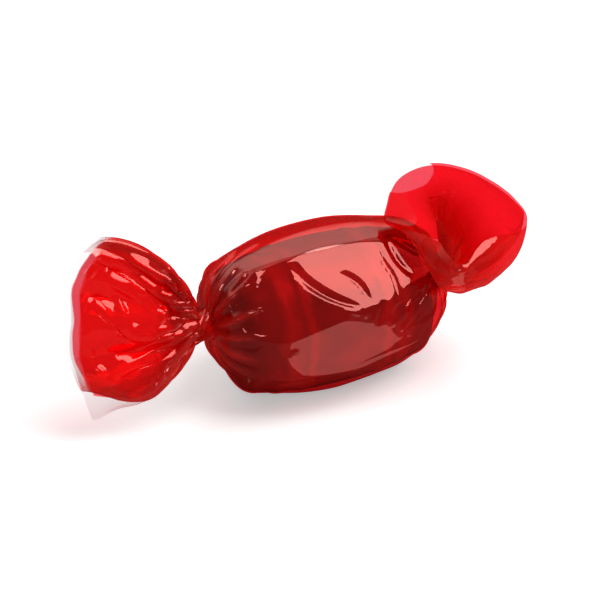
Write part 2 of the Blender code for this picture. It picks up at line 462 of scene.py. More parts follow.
# Places on the body: millimetres along it, and the angle round it.
BODY_CREASES = (
    Crease(((-5.0, 21.0), (-4.2, 34.0), (-2.8, 47.0), (-1.1, 57.0), (1.1, 64.0)), 0.00022, 0.00026),
    Crease(((-5.0, 31.0), (-4.3, 42.0), (-2.6, 54.0), (-0.9, 61.0), (0.9, 67.0)), -0.00018, 0.00022),
    Crease(((-5.0, 40.0), (-3.8, 51.0), (-1.9, 61.0), (0.0, 66.5), (1.5, 71.0)), -0.00022, 0.00024),
    Crease(((0.1, 36.5), (1.4, 45.0), (2.0, 54.0), (2.2, 64.0)), 0.00026, 0.00030),
    Crease(((1.2, 64.0), (1.5, 69.0), (1.6, 73.0)), -0.00016, 0.00025),
    Crease(((2.7, 80.0), (3.4, 70.0), (3.7, 63.0)), 0.00022, 0.00026),
    Crease(((4.9, 22.0), (5.4, 36.0), (5.9, 50.0), (5.7, 66.0)), 0.00024, 0.00030),
    Crease(((6.6, 14.0), (6.8, 26.0), (7.2, 38.0), (8.2, 50.0)), 0.00030, 0.00030),
    Crease(((7.0, 13.0), (8.6, 22.0), (10.1, 34.0)), 0.00034, 0.00034),
    Crease(((4.6, 84.0), (6.0, 76.0), (7.6, 69.0), (9.2, 62.0)), -0.00044, 0.00032),
    Crease(((6.0, 87.0), (7.4, 77.0), (7.9, 66.0)), 0.00026, 0.00030),
    Crease(((5.6, 90.0), (7.2, 82.0), (8.8, 75.0), (10.2, 69.0)), -0.00044, 0.00032),
    Crease(((7.3, 92.0), (8.5, 84.0), (9.5, 72.0), (10.0, 60.0)), -0.00036, 0.00034),
    Crease(((4.7, 98.0), (7.0, 90.0), (9.7, 96.0)), -0.00030, 0.00030),
    Crease(((-13.4, 64.0), (-11.1, 56.0), (-9.6, 52.0), (-7.5, 46.0), (-6.1, 45.0)), -0.00008, 0.00022),
    Crease(((-13.4, 72.0), (-12.1, 65.0), (-10.3, 57.0), (-8.4, 51.0)), -0.00007, 0.00020),
    Crease(
        (
            (-13.2, 20.0),
            (-12.7, 10.0),
            (-11.5, 6.0),
            (-10.3, 3.0),
            (-9.9, 11.0),
            (-10.6, 16.0),
            (-12.0, 23.0),
        ),
        -0.00024,
        0.00020,
    ),
    Crease(((-13.2, 36.0), (-11.4, 27.0), (-9.9, 20.0), (-8.9, 16.0), (-8.9, 21.0)), -0.00028, 0.00026),
    Crease(
        ((-8.8, 14.0), (-9.1, 24.0), (-9.8, 33.0), (-11.0, 40.0), (-12.4, 41.0), (-13.3, 40.0)),
        -0.00032,
        0.00028,
    ),
    Crease(((-13.0, 31.0), (-11.5, 29.0), (-9.9, 24.0)), -0.00018, 0.00018),
    Crease(((-12.9, -62.0), (-12.2, -52.0), (-11.2, -46.0), (-10.2, -33.0)), -0.00028, 0.00026),
    Crease(((-13.4, -34.0), (-12.4, -18.0), (-10.6, -18.0), (-8.3, -30.0)), -0.00030, 0.00026),
    Crease(((-13.3, -8.0), (-12.0, -6.0), (-10.4, -9.0), (-8.2, -15.0), (-6.4, -17.0)), -0.00028, 0.00024),
    Crease(((-13.3, 90.0), (-12.9, 96.0), (-11.9, 94.0), (-11.0, 92.0), (-10.2, 84.0)), -0.00026, 0.00022),
    Crease(((-11.4, 72.0), (-10.4, 75.0), (-9.4, 74.0)), -0.00012, 0.00016),
    Crease(((-7.6, 89.0), (-7.1, 88.0), (-6.3, 88.0)), -0.00030, 0.00024),
    Crease(
        ((-13.3, 160.0), (-12.5, 140.0), (-10.6, 126.0), (-8.4, 118.0), (-5.3, 114.0)),
        -0.00034,
        0.00030,
    ),
    Crease(((-12.9, 168.0), (-11.3, 145.0), (-9.3, 130.0), (-6.7, 121.0), (-3.0, 118.0)), 0.00026, 0.00034),
    Crease(((-13.3, 118.0), (-11.6, 112.0), (-9.8, 109.0), (-8.3, 109.0)), -0.00020, 0.00024),
    Crease(((0.0, 112.0), (4.0, 106.0), (8.4, 108.0)), 0.00022, 0.00034),
)

# Places on the front of the fan: across it from -1 to 1, and the share of the way out.
FAN_CREASES = (
    Crease(((0.24, 0.80), (0.12, 0.69), (0.01, 0.60), (-0.10, 0.50)), 0.00040, 0.00034),
    Crease(((0.36, 0.82), (0.27, 0.76), (0.16, 0.72), (0.02, 0.64)), -0.00070, 0.00062),
    Crease(((0.46, 0.66), (0.27, 0.61), (0.09, 0.59), (-0.04, 0.53)), -0.00036, 0.00030),
    Crease(((0.26, 0.58), (0.10, 0.56), (-0.06, 0.48)), -0.00026, 0.00024),
    Crease(((0.38, 0.88), (0.40, 0.74), (0.34, 0.66)), 0.00030, 0.00032),
    Crease(((0.92, 0.37), (0.84, 0.27), (0.78, 0.17), (0.73, 0.07)), -0.00052, 0.00038),
    Crease(((0.98, 0.34), (0.97, 0.14)), -0.00024, 0.00028),
    Crease(((0.54, 0.26), (0.47, 0.17), (0.56, 0.08)), -0.00034, 0.00030),
    Crease(((0.74, 0.76), (0.69, 0.58), (0.51, 0.30), (0.33, 0.12)), 0.00056, 0.00052),
    Crease(((0.62, 0.86), (0.56, 0.66), (0.40, 0.40), (0.24, 0.16)), -0.00034, 0.00034),
    Crease(((0.05, 0.90), (-0.19, 0.84), (-0.46, 0.90)), -0.00034, 0.00050),
    Crease(((-0.40, 0.81), (-0.50, 0.77)), -0.00044, 0.00030),
    Crease(((0.61, 0.99), (0.77, 0.96), (0.86, 0.90)), -0.00028, 0.00026),
    Crease(((0.50, 0.94), (0.76, 0.87)), -0.00024, 0.00024),
    Crease(((-0.62, 0.25), (-0.74, 0.36), (-0.94, 0.44)), -0.00036, 0.00030),
    Crease(((-0.30, 0.15), (-0.44, 0.34), (-0.48, 0.52), (-0.58, 0.70)), 0.00046, 0.00042),
    Crease(((0.10, 0.12), (0.00, 0.30), (-0.18, 0.44), (-0.30, 0.64)), 0.00044, 0.00038),
    Crease(((-0.12, 0.12), (-0.26, 0.30), (-0.36, 0.46), (-0.42, 0.60)), -0.00030, 0.00030),
    Crease(((-0.52, 0.16), (-0.66, 0.44), (-0.78, 0.66), (-0.84, 0.84)), -0.00030, 0.00034),
    Crease(((0.82, 0.94), (0.75, 0.80), (0.67, 0.62), (0.58, 0.46)), 0.00040, 0.00034),
    Crease(((0.93, 1.04), (0.90, 0.84), (0.86, 0.68), (0.80, 0.50), (0.72, 0.32)), 0.00056, 0.00038),
)

# Places on the cup: the angle round it, and the share of the way up to its rim.
CUP_CREASES = (
    Crease(((102.0, 0.99), (111.0, 0.88), (131.0, 0.81), (150.0, 0.88), (159.0, 0.99)), 0.00050, 0.00044),
    Crease(
        (
            (40.0, 0.80),
            (58.0, 0.70),
            (80.0, 0.68),
            (96.0, 0.73),
            (110.0, 0.78),
            (130.0, 0.75),
            (146.0, 0.80),
        ),
        -0.00036,
        0.00030,
    ),
    Crease(
        ((50.0, 0.66), (72.0, 0.60), (92.0, 0.64), (110.0, 0.69), (130.0, 0.67), (150.0, 0.70)),
        -0.00030,
        0.00028,
    ),
    Crease(((10.0, 0.90), (26.0, 0.86), (44.0, 0.84), (62.0, 0.82), (84.0, 0.86)), -0.00030, 0.00028),
    Crease(((10.0, 0.32), (18.0, 0.28), (28.0, 0.26)), -0.00070, 0.00045),
    Crease(((318.0, 0.58), (297.0, 0.54), (277.0, 0.59), (258.0, 0.69)), 0.00026, 0.00030),
    Crease(((216.0, 0.56), (206.0, 0.60), (199.0, 0.66), (192.0, 0.88)), -0.00036, 0.00032),
)


@dataclass(frozen=True)
class Film:
    """Form of the wrapper: the rings that the sheet follows, with its pleats, flats and creases.

    A ring's points are told by their angle on the sheet, which runs on past a whole turn where the sheet
    lies double. The twist of the necks turns them by a further angle round the ring.
    """

    # The body and the two necks.
    body_radius: float = 0.0093
    body_reach: float = 0.0136
    body_axis: float = 0.0090
    left_fullness: float = 0.86
    right_fullness: float = 0.78
    neck_radius: float = 0.0017
    neck_length: float = 0.0021
    left_neck: Triple = (0.0, -0.0004, 0.0012)
    right_neck: Triple = (0.0, -0.0002, 0.0008)
    shift_from: float = 0.50

    # How far the sheet is turned round the candy, and the step at its outer edge.
    edge_turn: float = 1.5
    edge_bend: float = 0.08
    edge_middle: float = 0.5
    edge_step: float = 0.0003
    edge_reach: float = 3.0
    shoulder_turn: float = 22.0
    shoulder_from: float = 0.3
    left_neck_turn: float = 80.0
    fan_turn: float = 76.0
    right_neck_turn: float = 30.0
    cup_turn: float = 8.0
    right_pleat_turn: float = -60.0

    # The pleats at the necks.
    pleats: float = 15.0
    left_pleat_share: float = 0.050
    right_pleat_share: float = 0.075
    pleat_at_neck: float = 0.15
    pleat_from: float = 0.94
    pleat_from_wander: float = 0.07
    pleat_unevenness: float = 0.45
    pleat_wander: float = 2.4
    fine_pleats: float = 0.28
    fine_pleat_phase: float = 1.3
    pleat_lean: float = 0.95
    pleat_lean_from: float = 0.92
    pleat_lean_rise: float = 1.6
    pleat_lean_phase: float = 1.5
    neck_waist: float = 0.10

    # The flat places of the body, and the scattered ones at its back.
    flat_rounding: float = 0.00005
    flat_facing: float = 0.3
    flat_least: float = 0.80
    far_away: float = 1.0
    back_flats: int = 13
    back_seed: int = 11
    back_from: float = 134.0
    back_over: float = 206.0
    back_scatter: float = 6.0
    back_half: Pair = (10.0, 17.0)
    back_lean: float = 2.0
    back_lean_scatter: float = 5.0
    clearance: float = 0.00012
    table_gap: float = 0.00003

    # The fan, with its folds, its pleats and the loose flap at its lower side.
    fan_axis: Triple = (-0.976, 0.035, 0.215)
    fan_across: Triple = (0.20, 0.20, 0.96)
    fan_length: float = 0.0148
    fan_half_width: float = 0.0100
    fan_half_thickness: float = 0.0021
    fan_side_roundness: float = 0.52
    fan_opening: float = 0.62
    fan_upper_setback: float = 0.0036
    fan_upper_power: float = 5.0
    fan_lower_setback: float = 0.0040
    fan_lower_power: float = 1.4
    fan_fold_fade: float = 0.45
    fan_fold_power: float = 1.6
    fan_folds: tuple[Triple, ...] = (
        (-0.70, 0.0011, 0.17),
        (-0.28, -0.0012, 0.17),
        (0.10, 0.0010, 0.15),
        (0.42, -0.0012, 0.15),
        (0.78, 0.0004, 0.14),
    )
    fan_closing: float = 0.58
    fan_closing_from: float = 0.2
    fan_lean_back: float = 0.0006
    fan_pleats: float = 13.0
    fan_pleat_depth: float = 0.00030
    fan_pleat_sharpness: float = 0.9
    fan_pleat_wander: float = 1.9
    fan_pleat_unevenness: float = 0.5
    fan_pleat_rise: float = 4.0
    fan_pleat_fade: float = 0.85
    fan_pleat_fade_from: float = 0.40
    fan_back_phase: float = 2.1
    fan_back_pressing: float = 0.3
    fan_fold_share: float = 0.75
    flap_sheet: float = 40.0
    flap_rise: float = 0.34
    flap_from: float = 0.35
    flap_depth: float = -0.0002

    # The cup, with its rim, its curled lip and its pleats.
    cup_mouth: Triple = (-0.0016, -0.0040, 0.0090)
    cup_to_left: Triple = (-0.910, 0.415, 0.0)
    cup_to_front: Triple = (-0.395, -0.865, -0.300)
    cup_leave_ahead: float = 0.0011
    cup_leave_out: float = 0.0050
    cup_leave_drop: float = 0.20
    cup_leave_lift: float = 0.0016
    cup_swell: float = 0.0080
    cup_below_rim: float = 0.0050
    cup_over_shoulder: Triple = (0.0045, 0.0, -0.0015)
    cup_sag: Triple = (-0.0034, -0.0004, -0.0016)
    cup_sag_angle: float = 72.0
    cup_sag_spread: float = 45.0
    cup_lift: Triple = (0.0, 0.0, 0.0017)
    cup_lift_angle: float = 112.0
    cup_lift_spread: float = 48.0
    cup_clearance: float = 0.0009
    cup_rim: tuple[Pair, ...] = (
        (3.0, 0.00760),
        (11.0, 0.00635),
        (25.0, 0.00540),
        (42.0, 0.00450),
        (65.0, 0.00440),
        (79.0, 0.00560),
        (90.0, 0.00700),
        (99.0, 0.00760),
        (102.5, 0.00720),
        (114.0, 0.00575),
        (133.0, 0.00510),
        (148.0, 0.00565),
        (157.0, 0.00640),
        (165.0, 0.00770),
        (175.0, 0.00795),
        (185.0, 0.00784),
        (200.0, 0.00710),
        (217.0, 0.00670),
        (234.5, 0.00660),
        (250.5, 0.00690),
        (265.0, 0.00730),
        (278.0, 0.00784),
        (288.5, 0.00826),
        (298.0, 0.00837),
        (311.0, 0.00840),
        (318.5, 0.00830),
        (343.0, 0.00750),
    )
    cup_rim_rounding: float = 5.0
    cup_rim_samples: int = 9
    cup_curl: float = 0.0006
    cup_curl_from: float = 0.955
    cup_curl_side: Pair = (0.05, 0.5)
    cup_pleats: float = 11.0
    cup_pleat_depth: float = 0.00016
    cup_pleat_sharpness: float = 0.93
    cup_pleat_wander: float = 2.2
    cup_pleat_unevenness: float = 0.5
    cup_pleat_twist: float = 1.4
    clearing_rounds: int = 6
    clearing_power: float = 0.4
    clearing_least: float = 0.1

    def neck(self, end: End, beyond: float) -> Array:
        """Centre of a neck.

        Args:
            end: Which end of the wrapper.
            beyond: How far out from the body's end.

        Returns:
            The point.
        """
        shift = np.array(self.left_neck if end is End.LEFT else self.right_neck)
        return np.array((end.value * (self.body_reach + beyond), 0.0, self.body_axis)) + shift

    def gathers(self, radius: Array | float, end: End, sheet: Array, turned: float = 0.0) -> Array:
        """How far the gathered film stands out, with sharp uneven pleats.

        Args:
            radius: Radius of the ring.
            end: The end whose pleats they are.
            sheet: Angles on the sheet in radians.
            turned: How far the pleats are turned, in degrees.

        Returns:
            The height of the pleats at each angle.
        """
        full = self.body_radius * (self.pleat_from + self.pleat_from_wander * wander(sheet, end.seed + 4.0))
        spare = np.clip(1.0 - radius / full, 0.0, 1.0)
        share = self.left_pleat_share if end is End.LEFT else self.right_pleat_share
        depth = np.minimum(share * self.body_radius * spare, self.pleat_at_neck * radius)
        depth = depth * (1.0 + self.pleat_unevenness * wander(sheet, end.seed + 7.0))
        place = sheet + math.radians(turned)
        phase = self.pleats * place + self.pleat_wander * wander(place, end.seed)
        fine = crest(2.0 * phase + self.fine_pleat_phase + wander(place, end.seed + 2.0))
        return depth * (crest(phase) + self.fine_pleats * fine)

    def lean(self, radius: float, end: End, sheet: Array) -> Array:
        """How far the pleats lean over to one side, as an angle round the ring.

        Args:
            radius: Radius of the ring.
            end: The end whose pleats they are.
            sheet: Angles on the sheet in radians.

        Returns:
            The turn of each point in radians.
        """
        spare = max(1.0 - radius / (self.body_radius * self.pleat_lean_from), 0.0)
        phase = self.pleats * sheet + self.pleat_wander * wander(sheet, end.seed)
        over = self.pleat_lean * min(self.pleat_lean_rise * spare, 1.0)
        return over * np.sin(phase + self.pleat_lean_phase) / self.pleats

    def body_turn(self, along: float) -> float:
        """How far the sheet is turned round the body at a place along it, in degrees.

        Args:
            along: Place along the body.

        Returns:
            The turn, which is greatest at the left neck.
        """
        bend = self.edge_turn - self.edge_bend * (along / MM - self.edge_middle) ** 2
        if along > 0.0:
            return bend
        gone = (-along / self.body_reach - self.shoulder_from) / (1.0 - self.shoulder_from)
        return bend + self.shoulder_turn * max(gone, 0.0) ** 4

    def body_centre(self, along: float) -> Array:
        """Middle of the body's ring at a place along it, drawn towards the neck near its end.

        Args:
            along: Place along the body.

        Returns:
            The point.
        """
        shift = np.array(self.left_neck if along < 0.0 else self.right_neck)
        centre = np.array((along, 0.0, self.body_axis))
        return centre + shift * float(ease(abs(along) / self.body_reach, self.shift_from, 1.0))

    def plain_radius(self, along: float) -> float:
        """Radius of the body's rounded form at a place along it.

        Args:
            along: Place along the body.

        Returns:
            The radius.
        """
        share = min(abs(along) / self.body_reach, 1.0)
        fullness = self.left_fullness if along < 0.0 else self.right_fullness
        rise = math.sqrt(1.0 - share**2) ** fullness
        return self.neck_radius + (self.body_radius - self.neck_radius) * rise

    @cached_property
    def facets(self) -> list[Facet]:
        """The flat places all round the body: those in front, and scattered ones at the back.

        Returns:
            The facets.
        """
        facets = list(FRONT_FACETS)
        chance = np.random.default_rng(self.back_seed)
        for at in range(self.back_flats):
            angle = self.back_from + at * (self.back_over / self.back_flats)
            angle += chance.uniform(-self.back_scatter, self.back_scatter)
            along = chance.uniform(-self.back_scatter, self.back_scatter)
            half = chance.uniform(*self.back_half)
            lean = self.back_lean * along + chance.uniform(-self.back_lean_scatter, self.back_lean_scatter)
            reach = self.plain_radius(along * MM) / MM * math.cos(math.radians(half))
            tilt = math.radians(lean)
            facets.append(Facet(angle, lean, reach * math.cos(tilt) + along * math.sin(tilt)))
        return facets

    @cached_property
    def body_pressing(self) -> Pressing:
        """The creases over the body."""
        return Pressing(BODY_CREASES, MM, math.radians(self.body_radius))

    @cached_property
    def fan_pressing(self) -> Pressing:
        """The creases in the front of the fan."""
        return Pressing(FAN_CREASES, self.fan_half_width, self.fan_length)

    @cached_property
    def cup_pressing(self) -> Pressing:
        """The creases in the cup."""
        return Pressing(CUP_CREASES, math.radians(self.cup_swell), 2.0 * self.cup_swell)

    def body_ring(self, share: float, sheet: Array, barrel: Barrel) -> Array:
        """A ring of the body.

        Args:
            share: From 0 at the left neck to 1 at the right neck.
            sheet: Angles on the sheet in radians.
            barrel: The candy, which the film stays outside.

        Returns:
            The ring's points.
        """
        along = -math.cos(math.pi * share) * self.body_reach
        end = End.LEFT if along < 0.0 else End.RIGHT
        plain = self.plain_radius(along)
        centre = self.body_centre(along)
        offset = centre - (0.0, 0.0, self.body_axis)
        turned = sheet + math.radians(self.body_turn(along)) + self.lean(plain, end, sheet)
        degrees = (np.degrees(turned) + 90.0) % 360.0 - 90.0
        edge = math.degrees(sheet[-1]) % 360.0 + self.body_turn(along)
        above = self.edge_step * ease(edge - degrees, 0.0, self.edge_reach)
        radial = plain / self.body_radius
        rows = [np.full_like(turned, plain)]
        for facet in self.facets:
            normal, distance = facet.normal, facet.distance * MM
            facing = np.cos(turned) * normal[2] - np.sin(turned) * normal[1]
            ahead = distance * radial if facet.curved else distance - float(normal @ offset)
            reach = np.maximum(ahead / np.maximum(facing, self.flat_facing), self.flat_least * plain)
            cut = np.where(facing > self.flat_facing, reach, self.far_away)
            rows.append(cut + above if facet.stepped else cut)
        radii = soft_least(rows, self.flat_rounding)
        radii = radii - self.body_pressing.pressed(np.full_like(degrees, along / MM), degrees)
        radii = radii + self.gathers(plain, end, sheet)
        inner = barrel.reach(along, turned, centre) + self.clearance
        radii = -soft_least([-radii, -inner], self.flat_rounding)
        return self.upright(centre, turned, radii)

    def upright(self, centre: Array, angle: Array, radii: Array) -> Array:
        """Points round a centre in the plane across the candy, from straight up to the front."""
        up, front = np.array((0.0, 0.0, 1.0)), np.array((0.0, -1.0, 0.0))
        return on_frame(centre, up, front, radii * np.cos(angle), radii * np.sin(angle))

    def neck_ring(self, end: End, beyond: float, sheet: Array) -> Array:
        """A ring of a gathered neck.

        Args:
            end: Which end of the wrapper.
            beyond: How far out from the body's end.
            sheet: Angles on the sheet in radians.

        Returns:
            The ring's points.
        """
        gone = beyond / self.neck_length
        pleat_turn = self.right_pleat_turn * gone if end is End.RIGHT else 0.0
        neck_turn = self.left_neck_turn if end is End.LEFT else self.right_neck_turn
        turn = self.body_turn(end.value * self.body_reach) + neck_turn * gone
        waist = 1.0 - self.neck_waist * math.sin(math.pi * gone)
        radii = self.neck_radius * waist + self.gathers(self.neck_radius, end, sheet, pleat_turn)
        turned = sheet + math.radians(turn) + self.lean(self.neck_radius, end, sheet)
        return self.upright(self.neck(end, beyond), turned, radii)

    def fan_places(self, share: float, angle: Array, sheet: Array) -> tuple[Array, Array]:
        """Where the points of a ring of the fan lie across it, with the loose flap at its lower side.

        The film's outer edge is not tucked round the fan: towards the cut edge it hangs down as a flap.

        Args:
            share: From 0 at the fan's neck to 1 at its cut edge.
            angle: Angles round the ring in radians.
            sheet: The same points' angles on the sheet in radians, counted from its inner edge.

        Returns:
            Places across the fan from -1 to 1, and how much of the flap each point is, from 0 to 1.
        """
        open_share = float(ease(share, self.flap_from, 1.0))
        rise = self.flap_rise * open_share
        place = np.cos(angle)
        place = place + 0.5 * rise * (1.0 - place)
        whole = float(sheet.max())
        begins = whole - math.radians(self.flap_sheet)
        flap = np.clip((sheet - begins) / (whole - begins), 0.0, 1.0)
        start = float(np.interp(begins, sheet, place))
        hanging = start + (-1.0 - start) * flap
        return np.where(flap > 0.0, place + (hanging - place) * open_share, place), flap * open_share

    def fan_opened(self, share: float) -> float:
        """How far the fan has opened out, from 0 at its neck to 1 at its cut edge."""
        return math.sin(math.pi / 2.0 * share) ** self.fan_opening

    def fan_ring(self, share: float, sheet: Array) -> Array:
        """A ring of the left fan.

        Args:
            share: From 0 at its neck to 1 at its cut edge.
            sheet: Angles on the sheet in radians.

        Returns:
            The ring's points.
        """
        turn = self.body_turn(-self.body_reach) + self.left_neck_turn
        turn += self.fan_turn * (1.0 - (1.0 - share) ** 3)
        angle = sheet + math.radians(turn)
        place, flap = self.fan_places(share, angle, sheet - sheet.min())
        side = np.sin(angle)
        half_width = self.neck_radius + (self.fan_half_width - self.neck_radius) * self.fan_opened(share)
        axis = Vector(self.fan_axis).normalized()
        across = Vector(self.fan_across)
        across = (across - axis * across.dot(axis)).normalized()
        front = across.cross(axis).normalized()
        if front.y > 0.0:
            front.negate()
        thickness = self.fan_folded(share, place, side, flap)
        thickness = thickness + self.fan_pleated(share, place, side)
        pressed = self.fan_pressing.pressed(place, np.full_like(place, share))
        thickness = thickness - np.where(side > 0.0, pressed, self.fan_back_pressing * pressed)
        gathered = self.gathers(self.neck_radius, End.LEFT, sheet) * (1.0 - share) ** 3
        width = (half_width + gathered) * place
        thickness = thickness + gathered * side
        upper = self.fan_upper_setback * np.maximum(place, 0.0) ** self.fan_upper_power
        lower = self.fan_lower_setback * np.maximum(-place, 0.0) ** self.fan_lower_power
        ahead = share * (self.fan_length - upper - lower)
        start = self.neck(End.LEFT, self.neck_length)
        ring = on_frame(start, np.array(across), np.array(front), width, thickness)
        return ring + np.outer(ahead, np.array(axis))

    def fan_folded(self, share: float, place: Array, side: Array, flap: Array) -> Array:
        """How far a ring of the fan stands out in front of its middle plane, with its broad folds.

        Args:
            share: From 0 at the fan's neck to 1 at its cut edge.
            place: Places across the fan from -1 to 1.
            side: How far to the front each point is, from -1 to 1.
            flap: How much of the flap each point is, from 0 to 1.

        Returns:
            The distance at each point.
        """
        opened = self.fan_opened(share)
        half_thickness = self.neck_radius + (self.fan_half_thickness - self.neck_radius) * opened
        closing = 1.0 - self.fan_closing * float(ease(share, self.fan_closing_from, 1.0))
        layer = np.sign(side) * np.abs(side) ** self.fan_side_roundness
        thickness = half_thickness * closing * layer * (1.0 - flap)
        fold_depth = self.fan_fold_share * opened * (1.0 - self.fan_fold_fade * share**2)
        for middle, depth, spread in self.fan_folds:
            away = np.abs(place - middle) / spread
            thickness = thickness + depth * fold_depth * np.exp(-(away**self.fan_fold_power)) * (1.0 - flap)
        thickness = thickness + self.flap_depth * flap
        return thickness - self.fan_lean_back * place * opened

    def fan_pleated(self, share: float, place: Array, side: Array) -> Array:
        """How far the fine pleats of the fan stand out.

        Args:
            share: From 0 at the fan's neck to 1 at its cut edge.
            place: Places across the fan from -1 to 1.
            side: How far to the front each point is, from -1 to 1.

        Returns:
            The distance at each point.
        """
        phase = self.fan_pleats * np.arccos(np.clip(place, -1.0, 1.0))
        phase = phase + self.fan_pleat_wander * wander(place * 2.0, seed=3.0)
        phase = phase + np.where(side < 0.0, self.fan_back_phase, 0.0)
        faded = 1.0 - self.fan_pleat_fade * float(ease(share, self.fan_pleat_fade_from, 1.0))
        depth = self.fan_pleat_depth * (min(self.fan_pleat_rise * share, 1.0) * faded)
        pleats = depth * crest(phase, self.fan_pleat_sharpness) * np.minimum(2.0 * np.abs(side), 1.0)
        return pleats * (1.0 + self.fan_pleat_unevenness * wander(place * 3.0, seed=5.0))

    def rim(self, angle: Array) -> Array:
        """Distance of the cup's rim from the middle of its mouth.

        Args:
            angle: Angles round the mouth in radians.

        Returns:
            The distance at each angle.
        """
        places = np.array([place for place, _ in self.cup_rim])
        distances = np.array([distance for _, distance in self.cup_rim])
        shifts = np.linspace(-self.cup_rim_rounding, self.cup_rim_rounding, self.cup_rim_samples)
        around = [np.interp(np.degrees(angle) + shift, places, distances, period=360.0) for shift in shifts]
        return np.mean(around, axis=0)

    def clear_of_body(self, ring: Array) -> Array:
        """Move every point of a ring that lies in the body's right shoulder out to its surface.

        Args:
            ring: The ring's points.

        Returns:
            The points, all outside the body.
        """
        for _ in range(self.clearing_rounds):
            off_axis = ease(ring[:, 0] / self.body_reach, self.shift_from, 1.0)
            middle = np.outer(off_axis, np.array(self.right_neck)) + (0.0, 0.0, self.body_axis)
            offset = ring - middle
            from_axis = np.hypot(offset[:, 1], offset[:, 2]) / (self.body_radius + self.cup_clearance)
            along = offset[:, 0] / (self.body_reach + self.cup_clearance)
            level = from_axis ** (2.0 / self.right_fullness) + along**2
            grown = np.maximum(level, self.clearing_least) ** -self.clearing_power
            grown = np.where(level < 1.0, grown, 1.0)
            ring = middle + offset * grown[:, None]
        return ring

    def bulge(self, angle: Array, middle: float, spread: float, way: Triple) -> Array:
        """A soft push on one side of the cup's wall.

        Args:
            angle: Angles round the ring in radians.
            middle: Angle of its middle in degrees.
            spread: How far it reaches to both sides, in degrees.
            way: How far it pushes its middle.

        Returns:
            The push at each angle.
        """
        apart = (np.degrees(angle) - middle + 180.0) % 360.0 - 180.0
        return np.outer(np.exp(-((apart / spread) ** 2)), np.array(way))

    @cached_property
    def cup_frame(self) -> tuple[Array, Array, Array]:
        """Directions of the cup's mouth: to its left, to its front, and up out of it.

        Returns:
            The three directions.
        """
        left = Vector(self.cup_to_left).normalized()
        front = Vector(self.cup_to_front)
        front = (front - left * front.dot(left)).normalized()
        return np.array(left), np.array(front), np.array(left.cross(front))

    def cup_wall(self, share: float, angle: Array, neck: Array, spread: Array) -> Array:
        """The smooth wall of the cup, bent from its neck over to its rim.

        Args:
            share: From 0 at its neck to 1 at its rim.
            angle: Angles round the ring in radians.
            neck: The points at the neck from which the wall leaves.
            spread: Directions from the middle of the mouth to its rim.

        Returns:
            The ring's points.
        """
        mouth = self.neck(End.RIGHT, self.neck_length) + np.array(self.cup_mouth)
        outer = 0.5 - 0.5 * np.cos(angle)[:, None]
        outward = self.upright(np.zeros(3), angle, np.ones_like(angle))
        leave = outward * (1.0 - (1.0 - self.cup_leave_drop) * outer) + spread * outer
        leaving = neck + self.cup_leave_out * leave + np.array((self.cup_leave_ahead, 0.0, 0.0))
        leaving = leaving + outer * np.array((0.0, 0.0, self.cup_leave_lift))
        sag = self.bulge(angle, self.cup_sag_angle, self.cup_sag_spread, self.cup_sag)
        sag = sag + self.bulge(angle, self.cup_lift_angle, self.cup_lift_spread, self.cup_lift)
        below = mouth + self.cup_swell * spread - self.cup_below_rim * outer * self.cup_frame[2]
        below = below + (1.0 - outer) * np.array(self.cup_over_shoulder)
        rim = mouth + self.rim(angle)[:, None] * spread
        rest = 1.0 - share
        ring = rest**3 * neck + 3.0 * rest**2 * share * (leaving + sag)
        return ring + 3.0 * rest * share**2 * (below + sag) + share**3 * rim

    def cup_ring(self, share: float, sheet: Array) -> Array:
        """A ring of the right cup.

        Args:
            share: From 0 at its neck to 1 at its rim.
            sheet: Angles on the sheet in radians.

        Returns:
            The ring's points.
        """
        rest = 1.0 - share
        turn = self.body_turn(self.body_reach) + self.right_neck_turn
        turn += self.cup_turn * (1.0 - rest**3)
        angle = sheet + math.radians(turn)
        left, front, _ = self.cup_frame
        spread = on_frame(np.zeros(3), left, front, np.cos(angle), np.sin(angle))
        pleats = self.gathers(self.neck_radius, End.RIGHT, sheet, self.right_pleat_turn) * rest**2
        neck = self.upright(self.neck(End.RIGHT, self.neck_length), angle, self.neck_radius + pleats)
        ring = self.cup_wall(share, angle, neck, spread)
        curl = self.cup_curl * max((share - self.cup_curl_from) / (1.0 - self.cup_curl_from), 0.0) ** 2
        ring = ring - (curl * ease(np.sin(angle), *self.cup_curl_side))[:, None] * spread
        phase = self.cup_pleats * angle + self.cup_pleat_wander * wander(angle, seed=9.0)
        phase = phase + self.cup_pleat_twist * share
        uneven = 1.0 + self.cup_pleat_unevenness * wander(angle, seed=6.0)
        depth = self.cup_pleat_depth * 4.0 * share * rest**2 * uneven
        depth = depth * crest(phase, self.cup_pleat_sharpness)
        degrees = np.degrees(angle) % 360.0
        depth = depth - self.cup_pressing.pressed(degrees, np.full_like(degrees, share))
        return self.clear_of_body(ring + depth[:, None] * spread)


